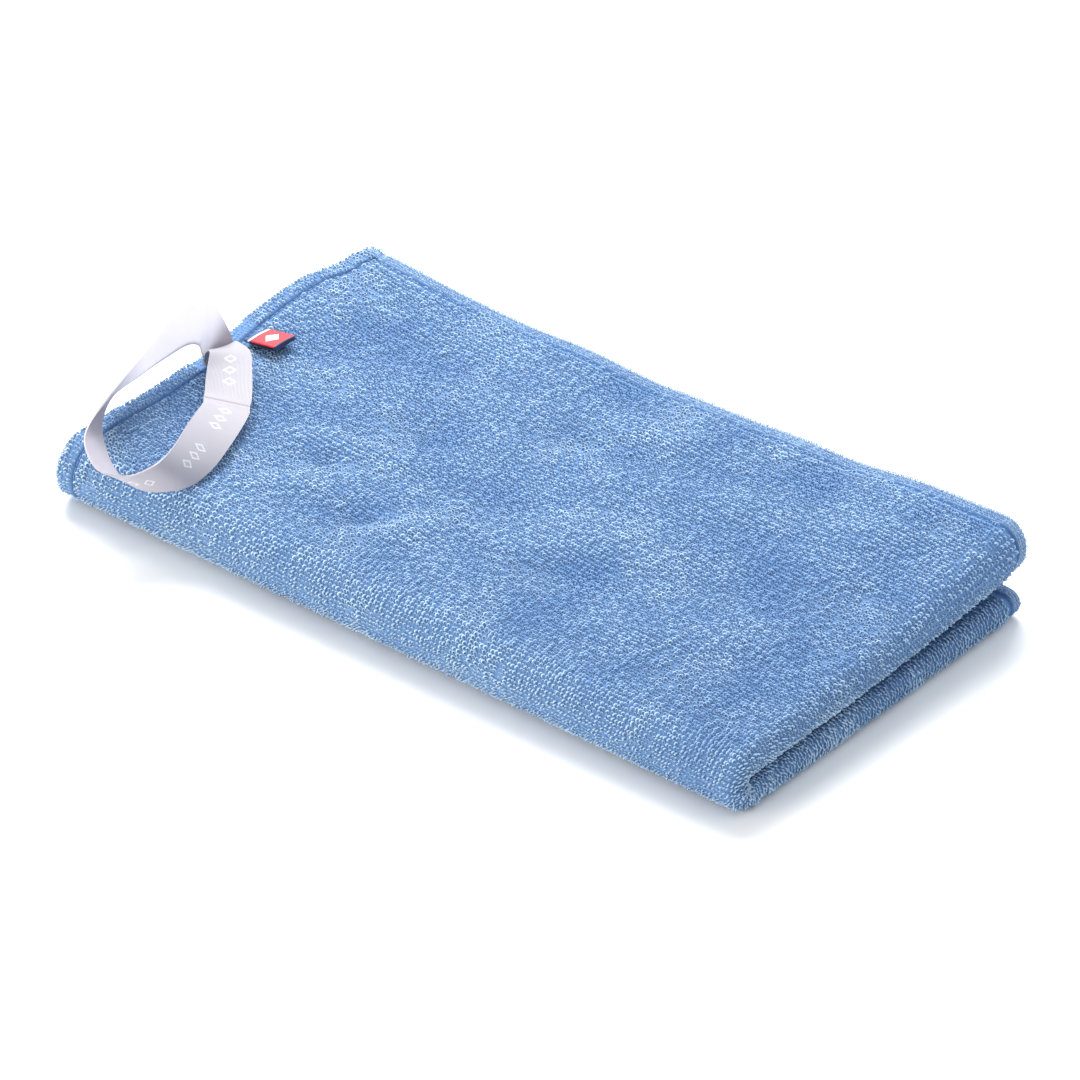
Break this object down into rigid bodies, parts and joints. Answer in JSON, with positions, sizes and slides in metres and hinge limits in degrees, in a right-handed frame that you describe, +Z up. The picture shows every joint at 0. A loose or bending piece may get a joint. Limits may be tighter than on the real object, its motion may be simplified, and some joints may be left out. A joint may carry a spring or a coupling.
{
  "type": "folded terry towel",
  "caption": "Small quick-drying terry towel, folded in half across and then along, with a ribbon loop for hanging and a folded woven tag sewn into the hem.",
  "frame": {"origin": "on the face the towel lies on, midway along its length and its width", "axes": "+X along the towel from the hems to the end folds, +Y across it from the long fold to the selvedges, +Z up out of the face it lies on"},
  "size_m": [0.3523, 0.2126, 0.0566],
  "materials": {
    "terry": "sky-blue terry, uncut loops, dull",
    "selvedge": "flat woven border of the same blue yarn, dull",
    "thread": "sewing thread, a little darker than the cloth",
    "ribbon": "mauve-grey ribbon with fine ribs along it, satin",
    "label": "red woven label, smooth"
  },
  "bodies": {
    "lower_half": {"lower_end_fold": "terry", "lower_inner_hem": "terry", "lower_inner_hem_stitching": "thread", "lower_inner_panel": "terry", "lower_inner_selvedge": "selvedge", "lower_outer_hem": "terry", "lower_outer_hem_stitching": "thread", "lower_outer_panel": "terry", "lower_outer_selvedge": "selvedge"},
    "long_fold": {"corner_fold": "terry", "inner_long_fold": "terry", "inner_long_fold_hem": "terry", "inner_long_fold_stitching": "thread", "outer_long_fold": "terry", "outer_long_fold_hem": "terry", "outer_long_fold_stitching": "thread"},
    "upper_half": {"upper_end_fold": "terry", "upper_inner_hem": "terry", "upper_inner_hem_stitching": "thread", "upper_inner_panel": "terry", "upper_inner_selvedge": "selvedge", "upper_outer_hem": "terry", "upper_outer_hem_stitching": "thread", "upper_outer_panel": "terry", "upper_outer_selvedge": "selvedge"},
    "loop": {"hanging_loop": "ribbon"},
    "tag": {"woven_tag": "label"}
  },
  "joints": [
    {"name": "fold_bends_up", "type": "hinge", "parent": "lower_half", "child": "long_fold", "pos_m": [0, -0.1, 0], "axis": [1, 0, 0], "range_deg": [0, 90]},
    {"name": "upper_half_opens", "type": "hinge", "parent": "long_fold", "child": "upper_half", "pos_m": [0, -0.1, 0.0348], "axis": [1, 0, 0], "range_deg": [0, 90]},
    {"name": "loop_lifts", "type": "hinge", "parent": "upper_half", "child": "loop", "pos_m": [-0.1675, -0.0045, 0.0259], "axis": [0, -1, 0], "range_deg": [0, 45]},
    {"name": "tag_turns", "type": "hinge", "parent": "upper_half", "child": "tag", "pos_m": [-0.1675, 0.016, 0.0246], "axis": [0, -1, 0], "range_deg": [0, 150]}
  ],
  "couplings": [
    {"joint": "fold_bends_up", "follows": "upper_half_opens", "ratio": 1}
  ]
}
